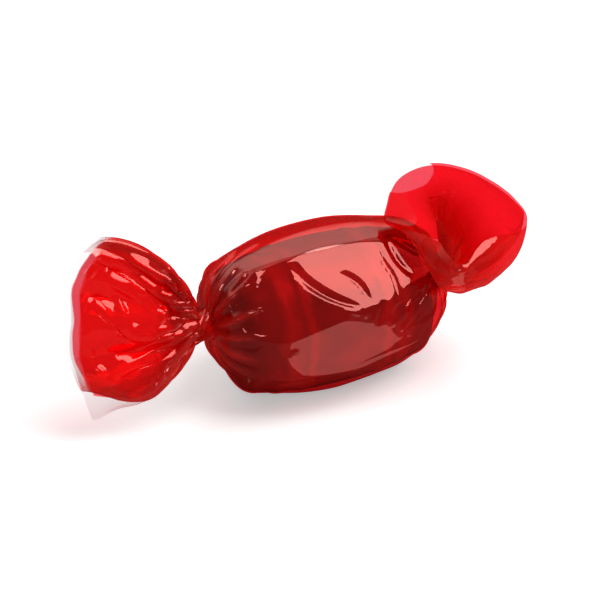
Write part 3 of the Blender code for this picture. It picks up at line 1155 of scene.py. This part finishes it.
@dataclass(frozen=True)
class RedFilm:
    """Finish of the wrapper: clear film printed red, bare along its edges and at a patch in the cup."""

    name: str = "red_film"
    red: Colour = (0.96, 0.088, 0.125, 1.0)
    gathered_red: Colour = (0.84, 0.020, 0.020, 1.0)
    bare: Colour = (0.985, 0.955, 0.960, 1.0)
    gloss: Colour = (1.0, 0.95, 0.85, 1.0)
    bare_gloss: Colour = (0.62, 0.20, 0.18, 1.0)
    inner_gloss: Colour = (0.95, 0.035, 0.025, 1.0)
    haze: Colour = (0.98, 0.020, 0.014, 1.0)
    haze_share: float = 0.03
    gathered_haze: float = 0.50
    roughness: float = 0.03
    face_share: float = 0.044
    inner_share: float = 0.105
    grazing_share: float = 0.25
    margin: float = 0.0011
    side_margin: float = 0.0036
    patch_place: float = 0.0150
    patch_wide: float = 0.0032
    patch_deep: float = 0.0036
    print_blur: float = 0.00012
    print_wobble: float = 0.0012
    wobble_scale: float = 18.0
    wobble_detail: float = 1.0
    grazing_power: float = 5.0

    def make(self, sheet_width: float, sheet_length: float, scale: float) -> bpy.types.Material:
        """Build the material.

        Args:
            sheet_width: Width of the flat sheet, round the candy.
            sheet_length: Length of the flat sheet, along the candy.
            scale: Length that one unit of the UV map stands for.

        Returns:
            The material.
        """
        material = empty_material(self.name)
        tree = material.node_tree
        gathered = node(tree, "ShaderNodeAttribute", {}, attribute_name="gathered").outputs["Fac"]
        printed = self.printed_mask(tree, sheet_width / scale, sheet_length / scale, scale)
        red = mixed_colour(tree, gathered, self.red, self.gathered_red)
        tint = mixed_colour(tree, printed, self.bare, red)
        clear = node(tree, "ShaderNodeBsdfTransparent", {"Color": tint})
        haze = node(tree, "ShaderNodeBsdfDiffuse", {"Color": self.haze})
        cloudy = computed(tree, "MULTIPLY_ADD", gathered, self.gathered_haze, self.haze_share)
        hazed = mixed_shader(tree, cloudy, clear.outputs[0], haze.outputs[0])
        inner_gloss = mixed_colour(tree, printed, self.bare_gloss, self.inner_gloss)
        inner = self.gloss_layer(tree, self.inner_share, hazed, inner_gloss)
        face = self.gloss_layer(tree, self.face_share, inner, self.gloss)
        node(tree, "ShaderNodeOutputMaterial", {"Surface": face})
        return material

    def gloss_layer(self, tree: Tree, head_on: float, beneath: Socket, colour: Socket | Colour) -> Socket:
        """Lay one reflecting face of the film over what is beneath it, the same from both sides.

        Args:
            tree: The material's nodes.
            head_on: Share of the light that it reflects when seen head on.
            beneath: The shader under it.
            colour: Its colour, or the colour's socket.

        Returns:
            The shader of both.
        """
        slant = node(tree, "ShaderNodeLayerWeight", {"Blend": 0.5}).outputs["Facing"]
        steep = computed(tree, "POWER", slant, self.grazing_power)
        share = computed(tree, "MULTIPLY_ADD", steep, self.grazing_share - head_on, head_on)
        gloss = node(tree, "ShaderNodeBsdfGlossy", {"Roughness": self.roughness, "Color": colour})
        return mixed_shader(tree, share, beneath, gloss.outputs[0])

    def printed_mask(self, tree: Tree, width: float, length: float, scale: float) -> Socket:
        """A value that is 1 on the red print and 0 on the bare margins and the bare patch.

        Args:
            tree: The material's nodes.
            width: Width of the sheet in the UV map.
            length: Length of the sheet in the UV map.
            scale: Length that one unit of the UV map stands for.

        Returns:
            The value's socket.
        """
        flat = node(tree, "ShaderNodeUVMap", {}, uv_map="sheet").outputs[0]
        parts = node(tree, "ShaderNodeSeparateXYZ", {0: flat})
        noise = {"Vector": flat, "Scale": self.wobble_scale, "Detail": self.wobble_detail}
        wobble = node(tree, "ShaderNodeTexNoise", noise).outputs[0]
        patch = (length, width - self.patch_place / scale, 0.0)
        shift = node(tree, "ShaderNodeVectorMath", {0: flat, 1: patch}, operation="SUBTRACT")
        squeeze = {0: shift.outputs[0], 1: (1.0, self.patch_deep / self.patch_wide, 0.0)}
        squeezed = node(tree, "ShaderNodeVectorMath", squeeze, operation="MULTIPLY")
        away = node(tree, "ShaderNodeVectorMath", {0: squeezed.outputs[0]}, operation="LENGTH")
        from_side = computed(tree, "SUBTRACT", width, parts.outputs[1])
        past_edge = self.beyond(tree, parts.outputs[0], wobble, self.margin, scale)
        past_side = self.beyond(tree, from_side, wobble, self.side_margin, scale)
        past_patch = self.beyond(tree, away.outputs["Value"], wobble, self.patch_deep, scale)
        past_both = computed(tree, "MULTIPLY", past_edge, past_side)
        return computed(tree, "MULTIPLY", past_both, past_patch)

    def beyond(self, tree: Tree, reach: Socket, wobble: Socket, margin: float, scale: float) -> Socket:
        """A value that is 1 beyond an uneven margin and 0 in it.

        Args:
            tree: The material's nodes.
            reach: How far in from the margin's outer side a place is, in the UV map.
            wobble: Noise that makes the margin uneven.
            margin: The margin's width.
            scale: Length that one unit of the UV map stands for.

        Returns:
            The value's socket.
        """
        uneven = computed(tree, "MULTIPLY_ADD", wobble, self.print_wobble / scale, reach)
        middle = margin + 0.5 * self.print_wobble
        return ramp(tree, uneven, (middle - self.print_blur) / scale, (middle + self.print_blur) / scale)


@dataclass(frozen=True)
class DarkCandy:
    """Finish of the hard candy: dark brown and glossy, mottled and dimpled, with a painted highlight that
    makes its raised hoops lighter.
    """

    name: str = "hard_candy"
    light: Colour = (0.60, 0.11, 0.050, 1.0)
    dark: Colour = (0.12, 0.025, 0.012, 1.0)
    # The lighter colour of the raised hoops is a painted highlight.
    hoop: Colour = (0.55, 0.10, 0.045, 1.0)
    highlight_hoop_places: Pair = (0.0048, 0.0069)
    hoop_half_width: float = 0.0012
    highlight_hoop_wander: float = 0.0050
    mottle_scale: float = 260.0
    mottle_detail: float = 3.0
    roughness: float = 0.16
    dimple_scale: float = 900.0
    dimple_height: float = 0.00006
    dimple_strength: float = 0.5

    def make(self) -> bpy.types.Material:
        """Build the material.

        Returns:
            The material.
        """
        material = bpy.data.materials.new(self.name)
        material.use_nodes = True
        tree = material.node_tree
        shader = tree.nodes["Principled BSDF"]
        shader.inputs["Roughness"].default_value = self.roughness
        place = node(tree, "ShaderNodeTexCoord", {}).outputs["Object"]
        noise = {"Vector": place, "Scale": self.mottle_scale, "Detail": self.mottle_detail}
        mottle = node(tree, "ShaderNodeTexNoise", noise).outputs[0]
        shade = mixed_colour(tree, mottle, self.dark, self.light)
        # Painted highlight: the raised hoops get a lighter colour.
        hoop_highlighted = mixed_colour(tree, self.hoops(tree, place, mottle), shade, self.hoop)
        dimples = node(tree, "ShaderNodeTexNoise", {"Vector": place, "Scale": self.dimple_scale})
        depth = {"Distance": self.dimple_height, "Strength": self.dimple_strength}
        bump = node(tree, "ShaderNodeBump", {"Height": dimples.outputs[0], **depth})
        tree.links.new(hoop_highlighted, shader.inputs["Base Color"])
        tree.links.new(bump.outputs[0], shader.inputs["Normal"])
        return material

    def hoops(self, tree: Tree, place: Socket, noise: Socket) -> Socket:
        """A value that is 1 on the raised hoops, where a painted highlight makes the candy lightest, with
        uneven edges.

        Args:
            tree: The material's nodes.
            place: Place on the candy.
            noise: Noise that makes the edges uneven.

        Returns:
            The value's socket.
        """
        parts = node(tree, "ShaderNodeSeparateXYZ", {0: place})
        aside = computed(tree, "ABSOLUTE", parts.outputs[0])
        uneven = computed(tree, "MULTIPLY_ADD", noise, self.highlight_hoop_wander, aside)
        values = []
        for middle in self.highlight_hoop_places:
            apart = computed(tree, "SUBTRACT", uneven, middle + 0.5 * self.highlight_hoop_wander)
            away = computed(tree, "ABSOLUTE", apart)
            values.append(ramp(tree, away, self.hoop_half_width, 0.0))
        return computed(tree, "MAXIMUM", *values)


def deselect_all() -> None:
    """Leave nothing selected, so that an operator acts on new pieces only."""
    if bpy.context.mode != "OBJECT":
        bpy.ops.object.mode_set(mode="OBJECT")
    bpy.ops.object.select_all(action="DESELECT")


@dataclass
class Wrapper:
    """The sheet of film, bent onto the rings of the wrapper and made in three lengths of it."""

    film: Film
    barrel: Barrel
    finish: RedFilm
    columns: int = 560
    fan_rows: int = 96
    neck_rows: int = 12
    body_rows: int = 160
    cup_rows: int = 92
    first_edge: float = 161.0
    whole: float = 575.0
    lap_from: float = 330.0
    lap_over: float = 388.0
    body_lift: float = 0.00016
    end_lift: float = 0.00030
    uv_scale: float = 0.100
    near_columns: int = 14
    ring_share: float = 0.45
    near_share: float = 0.55
    gathered_from: float = 0.22
    gathered_full: float = 0.58
    lip_folds: float = 0.80
    lip_from: float = 0.30
    lip_full: float = 0.75
    lip_angle: float = 66.0
    lip_spread: float = 42.0

    def rings(self) -> Array:
        """Every ring of the sheet from its left cut edge to its right one.

        Returns:
            The rings' points, by ring and by column.
        """
        film = self.film
        sheet = np.radians(self.first_edge + np.linspace(0.0, self.whole, self.columns + 1))
        neck = np.linspace(0.0, film.neck_length, self.neck_rows + 1)
        away = np.linspace(1.0, 0.0, self.fan_rows)
        rings = [film.fan_ring(float(share), sheet) for share in away[:-1]]
        rings += [film.neck_ring(End.LEFT, float(beyond), sheet) for beyond in neck[::-1][:-1]]
        shares = np.linspace(0.0, 1.0, self.body_rows)
        rings += [film.body_ring(float(share), sheet, self.barrel) for share in shares]
        rings += [film.neck_ring(End.RIGHT, float(beyond), sheet) for beyond in neck[1:]]
        up = np.linspace(0.0, 1.0, self.cup_rows)
        rings += [film.cup_ring(float(share), sheet) for share in up[1:]]
        return self.lapped(np.stack(rings))

    def build(self) -> list[bpy.types.Object]:
        """Make the sheet.

        Returns:
            The wrapper's objects: the fan, the body and the cup.
        """
        rings = self.rings()
        places = self.places(rings)
        width = 2.0 * math.pi * self.film.body_radius * self.whole / 360.0
        length = float(places[-1].mean())
        across = np.broadcast_to(np.linspace(0.0, width, self.columns + 1), places.shape)
        flat = np.stack((places, across), axis=2) / self.uv_scale
        gathered = self.gathered(rings, width)
        material = self.finish.make(width, length, self.uv_scale)
        first = self.fan_rows - 1 + self.neck_rows // 2
        last = len(rings) - self.cup_rows - self.neck_rows // 2
        LOG.info("flat sheet %.1f by %.1f mm", length / MM, width / MM)
        lengths = (("film_fan", 0, first), ("film_body", first, last), ("film_cup", last, len(rings) - 1))
        pieces = []
        for name, start, end in lengths:
            part = slice(start, end + 1)
            piece = self.bent(name, rings[part], flat[part], gathered[part])
            piece.data.materials.clear()
            piece.data.materials.append(material)
            pieces.append(piece)
        return pieces

    def bent(self, name: str, rings: Array, flat: Array, gathered: Array) -> bpy.types.Object:
        """Bend a grid onto some of the rings.

        Args:
            name: The piece's name.
            rings: Points by ring and by column.
            flat: Places of the points on the flat sheet.
            gathered: How closely the film is gathered at the points.

        Returns:
            The piece.
        """
        count = len(rings)
        deselect_all()
        bpy.ops.mesh.primitive_grid_add(x_subdivisions=count - 1, y_subdivisions=self.columns, size=2.0)
        piece = bpy.context.object
        mesh = piece.data
        piece.name = mesh.name = name
        grid = np.empty(len(mesh.vertices) * 3, dtype=np.float32)
        mesh.vertices.foreach_get("co", grid)
        grid = grid.reshape(-1, 3)
        row = np.rint((grid[:, 0] + 1.0) / 2.0 * (count - 1)).astype(int)
        column = np.rint((grid[:, 1] + 1.0) / 2.0 * self.columns).astype(int)
        mesh.vertices.foreach_set("co", rings[row, column].astype(np.float32).ravel())
        loops = np.empty(len(mesh.loops), dtype=np.int32)
        mesh.loops.foreach_get("vertex_index", loops)
        layer = mesh.uv_layers[0]
        layer.name = "sheet"
        layer.data.foreach_set("uv", flat[row, column][loops].astype(np.float32).ravel())
        crowd = mesh.attributes.new("gathered", "FLOAT", "POINT")
        crowd.data.foreach_set("value", gathered[row, column].astype(np.float32))
        mesh.shade_smooth()
        mesh.update()
        return piece

    def places(self, rings: Array) -> Array:
        """Place of each point along the flat sheet, true to the nearer cut edge.

        Args:
            rings: Points by ring and by column.

        Returns:
            Distance from the left cut edge, by ring and by column.
        """
        steps = np.linalg.norm(np.diff(rings, axis=0), axis=2)
        none = np.zeros((1, steps.shape[1]))
        from_left = np.concatenate((none, np.cumsum(steps, axis=0)))
        length = float(from_left[-1].mean())
        to_right = from_left[-1:] - from_left
        towards = ease(np.arange(len(rings)), self.fan_rows + self.neck_rows, len(rings) - self.cup_rows)
        return from_left * (1.0 - towards[:, None]) + (length - to_right) * towards[:, None]

    def gathered(self, rings: Array, width: float) -> Array:
        """How closely the film is gathered, from 0 where it is spread to 1 in the necks.

        The many small folds in the front lip of the cup count as gathered too.

        Args:
            rings: Points by ring and by column.
            width: Width of the flat sheet.

        Returns:
            The gathering, by ring and by column.
        """
        count = self.near_columns
        steps = np.linalg.norm(np.diff(rings, axis=1), axis=2) * self.columns / width
        padded = np.pad(steps, ((0, 0), (count // 2, count // 2 + 1)), mode="edge")
        total = np.cumsum(np.pad(padded, ((0, 0), (1, 0))), axis=1)
        local = (total[:, count:] - total[:, :-count]) / count
        stretch = self.ring_share * steps.mean(axis=1)[:, None]
        stretch = stretch + self.near_share * local[:, : self.columns + 1]
        angle = self.first_edge + self.film.right_neck_turn + np.linspace(0.0, self.whole, self.columns + 1)
        apart = (angle - self.lip_angle + 180.0) % 360.0 - 180.0
        up = (np.arange(len(rings)) - len(rings) + self.cup_rows) / self.cup_rows
        high = ease(up, self.lip_from, self.lip_full)
        lip = self.lip_folds * np.outer(high, np.exp(-((apart / self.lip_spread) ** 2)))
        return np.minimum(ease(1.0 - stretch, self.gathered_from, self.gathered_full) + lip, 1.0)

    def lapped(self, rings: Array) -> Array:
        """Lift the outer end of the sheet off the inner one where it lies double.

        Args:
            rings: Points by ring and by column.

        Returns:
            The points with the two layers apart, all above the table.
        """
        columns = np.linspace(0.0, self.whole, self.columns + 1)
        row = np.arange(len(rings))
        left = 1.0 - ease(row, self.fan_rows, self.fan_rows + 2.0 * self.neck_rows)
        right = ease(row, len(rings) - self.cup_rows - 2.0 * self.neck_rows, len(rings) - self.cup_rows)
        height = self.body_lift + (self.end_lift - self.body_lift) * (left + right)
        lift = np.outer(height, ease(columns, self.lap_from, self.lap_over))
        normal = np.cross(np.gradient(rings, axis=1), np.gradient(rings, axis=0))
        normal /= np.maximum(np.linalg.norm(normal, axis=2, keepdims=True), 1e-12)
        rings = rings + normal * lift[:, :, None]
        rings[:, :, 2] = np.maximum(rings[:, :, 2], self.film.table_gap)
        return rings


@dataclass
class HardCandy:
    """The barrel candy inside the film."""

    barrel: Barrel
    finish: DarkCandy
    steps: int = 96
    merge: float = 0.00001

    def build(self) -> bpy.types.Object:
        """Spin the barrel's outline into a solid.

        Returns:
            The candy's object.
        """
        points = [(x, 0.0, self.barrel.axis_height + r) for x, r in self.barrel.profile()]
        deselect_all()
        bpy.ops.mesh.primitive_circle_add(vertices=len(points), radius=self.barrel.middle_radius)
        candy = bpy.context.object
        candy.name = candy.data.name = "barrel_candy"
        candy.data.vertices.foreach_set("co", np.array(points, dtype=np.float32).ravel())
        candy.data.update()
        bpy.ops.object.mode_set(mode="EDIT")
        bpy.ops.mesh.select_mode(type="EDGE")
        bpy.ops.mesh.select_all(action="DESELECT")
        bpy.ops.object.mode_set(mode="OBJECT")
        last = len(points) - 1
        for edge in candy.data.edges:
            edge.select = set(edge.vertices) == {0, last}
        bpy.ops.object.mode_set(mode="EDIT")
        bpy.ops.mesh.delete(type="EDGE")
        bpy.ops.mesh.select_all(action="SELECT")
        bpy.ops.mesh.spin(
            steps=self.steps,
            angle=2.0 * math.pi,
            center=(0.0, 0.0, self.barrel.axis_height),
            axis=(1.0, 0.0, 0.0),
        )
        bpy.ops.mesh.select_all(action="SELECT")
        bpy.ops.mesh.remove_doubles(threshold=self.merge)
        bpy.ops.mesh.normals_make_consistent(inside=False)
        bpy.ops.object.mode_set(mode="OBJECT")
        candy.data.shade_smooth()
        candy.data.materials.append(self.finish.make())
        return candy


@dataclass(frozen=True)
class Softbox:
    """A rectangular soft lamp, aimed at a place."""

    name: str
    place: Triple
    width: float
    height: float
    power: float
    aim: Triple = (0.0, 0.0, 0.009)
    seen: bool = True

    def build(self) -> None:
        """Hang the lamp."""
        lamp = bpy.data.lights.new(self.name, "AREA")
        lamp.shape = "RECTANGLE"
        lamp.size, lamp.size_y = self.width, self.height
        lamp.energy = self.power
        holder = bpy.data.objects.new(self.name, lamp)
        holder.location = self.place
        towards = Vector(self.aim) - Vector(self.place)
        holder.rotation_euler = towards.to_track_quat("-Z", "Y").to_euler()
        holder.visible_camera = self.seen
        bpy.context.scene.collection.objects.link(holder)


@dataclass
class Studio:
    """Table, light and camera.

    The front card is a small lamp near the table, unseen by the camera, that lights the front of the
    body from below.
    """

    softboxes: tuple[Softbox, ...] = (
        Softbox("key_softbox", (0.27, -0.14, 0.55), 0.42, 0.62, 3.3),
        Softbox("left_softbox", (-0.62, -0.45, 0.55), 0.22, 0.26, 0.6),
        Softbox("front_card", (0.005, -0.023, 0.0004), 0.020, 0.022, 0.0012, (0.005, -0.023, 1.0), False),
    )
    floor_radius: float = 0.086
    floor_corners: int = 128
    floor_colour: Colour = (0.94, 0.94, 0.94, 1.0)
    floor_reflected: Colour = (0.20, 0.20, 0.20, 1.0)
    sky_seen: Colour = (1.25, 1.25, 1.25, 1.0)
    floor_glow: float = 0.42
    sky_lighting: Colour = (1.0, 1.0, 1.0, 1.0)
    front_strength: float = 0.10
    back_strength: float = 0.95
    back_from: float = 0.15
    back_full: float = 0.55
    high_from: float = 0.22
    high_full: float = 0.55
    elevation: float = 32.0
    azimuth: float = 24.5
    distance: float = 0.50
    frame_width: float = 0.0650
    aim_right: float = -0.00285
    aim_up: float = 0.0010
    aim_height: float = 0.0090
    sensor_width: float = 36.0
    clip: Pair = (0.01, 50.0)
    bounces: int = 12
    film_layers: int = 40
    brightest_bounce: float = 4.0

    def build(self) -> None:
        """Set the table, hang the lamps, place the camera and choose how light is traced."""
        self.table()
        for softbox in self.softboxes:
            softbox.build()
        self.sky()
        self.camera()
        self.tracing()

    def table(self) -> None:
        """A round white table top with a faint glow, grey where the candy mirrors it."""
        deselect_all()
        bpy.ops.mesh.primitive_circle_add(
            vertices=self.floor_corners, radius=self.floor_radius, fill_type="NGON"
        )
        floor = bpy.context.object
        floor.name = "table_top"
        material = empty_material("table_top")
        tree = material.node_tree
        path = node(tree, "ShaderNodeLightPath", {})
        plain = node(tree, "ShaderNodeBsdfDiffuse", {"Color": self.floor_colour})
        mirrored = node(tree, "ShaderNodeBsdfDiffuse", {"Color": self.floor_reflected})
        paint = mixed_shader(tree, path.outputs["Is Glossy Ray"], plain.outputs[0], mirrored.outputs[0])
        strength = computed(tree, "MULTIPLY", path.outputs["Is Camera Ray"], self.floor_glow)
        glow = node(tree, "ShaderNodeEmission", {"Strength": strength})
        lit = node(tree, "ShaderNodeAddShader", {0: paint, 1: glow.outputs[0]})
        node(tree, "ShaderNodeOutputMaterial", {"Surface": lit.outputs[0]})
        floor.data.materials.append(material)

    def sky(self) -> None:
        """A pale sky that the camera sees, and one that lights the candy, dim in front, bright behind."""
        scene = bpy.context.scene
        scene.world = bpy.data.worlds.new("studio")
        scene.world.use_nodes = True
        tree = scene.world.node_tree
        towards = node(tree, "ShaderNodeTexCoord", {})
        parts = node(tree, "ShaderNodeSeparateXYZ", {0: towards.outputs["Generated"]})
        behind = ramp(tree, parts.outputs[1], self.back_from, self.back_full, self.back_strength)
        high = ramp(tree, parts.outputs[2], self.high_from, self.high_full)
        lighting = tree.nodes["Background"]
        lighting.inputs["Color"].default_value = self.sky_lighting
        strength = computed(tree, "MULTIPLY_ADD", behind, high, self.front_strength)
        tree.links.new(strength, lighting.inputs["Strength"])
        seen = node(tree, "ShaderNodeBackground", {"Color": self.sky_seen})
        path = node(tree, "ShaderNodeLightPath", {})
        mixed = mixed_shader(tree, path.outputs["Is Camera Ray"], lighting.outputs[0], seen.outputs[0])
        tree.links.new(mixed, tree.nodes["World Output"].inputs["Surface"])

    def camera(self) -> None:
        """Place the camera at the photograph's angle, with the candy filling most of the frame."""
        down, turn = math.radians(self.elevation), math.radians(self.azimuth)
        look = Vector((math.cos(down) * math.sin(turn), math.cos(down) * math.cos(turn), -math.sin(down)))
        right = look.cross(Vector((0, 0, 1))).normalized()
        up = right.cross(look)
        aim = Vector((0.0, 0.0, self.aim_height)) + right * self.aim_right + up * self.aim_up
        lens = bpy.data.cameras.new("camera")
        lens.sensor_width = self.sensor_width
        lens.lens = lens.sensor_width * self.distance / self.frame_width
        lens.clip_start, lens.clip_end = self.clip
        camera = bpy.data.objects.new("camera", lens)
        camera.location = aim - look * self.distance
        camera.rotation_euler = look.to_track_quat("-Z", "Y").to_euler()
        bpy.context.scene.collection.objects.link(camera)
        bpy.context.scene.camera = camera

    def tracing(self) -> None:
        """Let light through many layers of film, and show plain colours."""
        scene = bpy.context.scene
        scene.view_settings.view_transform = "Standard"
        scene.view_settings.look = "None"
        cycles = scene.cycles
        cycles.max_bounces = self.bounces
        cycles.transparent_max_bounces = self.film_layers
        cycles.caustics_reflective = False
        cycles.sample_clamp_indirect = self.brightest_bounce
        cycles.use_denoising = True


def main() -> None:
    """Build the candy, wrap it, and set the studio."""
    logging.basicConfig(level=logging.INFO, format="%(name)s: %(message)s")
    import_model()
    barrel = Barrel()
    candy = HardCandy(barrel, DarkCandy()).build()
    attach(candy, "root")
    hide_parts("wrapped_candy")
    LOG.info("candy: %d faces", len(candy.data.polygons))
    for length in Wrapper(Film(), barrel, RedFilm()).build():
        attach(length, "root")
        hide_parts("wrapped_candy")
        LOG.info("%s: %d faces", length.name, len(length.data.polygons))
    Studio().build()


if __name__ == "__main__":
    main()
